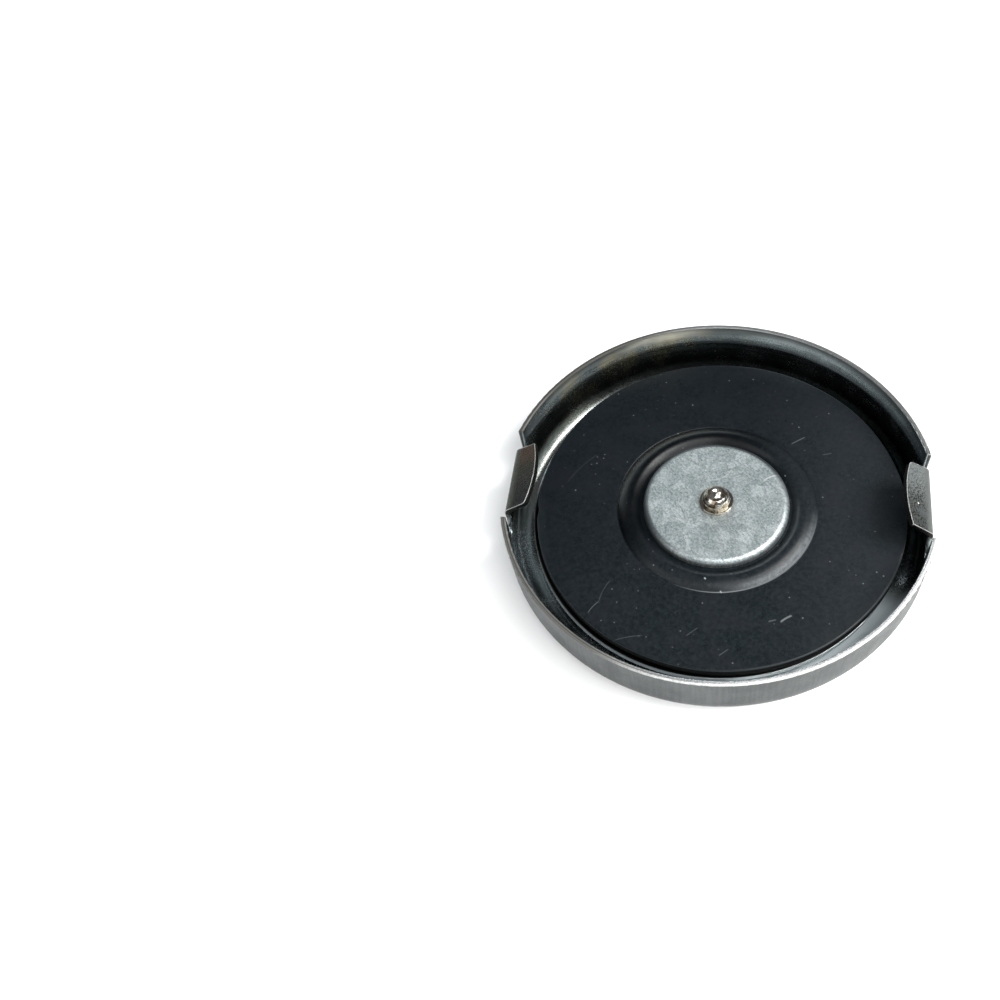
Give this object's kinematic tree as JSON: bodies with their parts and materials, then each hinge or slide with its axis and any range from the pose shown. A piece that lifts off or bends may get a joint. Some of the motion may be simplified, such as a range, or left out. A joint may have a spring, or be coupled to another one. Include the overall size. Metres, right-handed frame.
{
  "type": "fuel filler cap",
  "caption": "Round pressed steel fuel filler cap with bent-in bayonet tabs, a rubber gasket on a backing plate and a riveted retaining disc, lying open side up.",
  "frame": {"origin": "on the cap's axis, in the plane of the raised marks that it lies on", "axes": "+Z along the axis out of the open side, +X through one of the two tabs"},
  "size_m": [0.0754, 0.076, 0.0139],
  "materials": {
    "zinc_plated_steel": "dull zinc plating with draw lines",
    "gasket_rubber": "satin blue-grey rubber with scuffs",
    "disc_steel": "clouded bright plating",
    "rivet_steel": "polished nickel plating"
  },
  "bodies": {
    "root": {"shell": "zinc_plated_steel", "backing_plate": "zinc_plated_steel", "gasket": "gasket_rubber", "retaining_disc": "disc_steel", "rivet": "rivet_steel"}
  },
  "joints": []
}
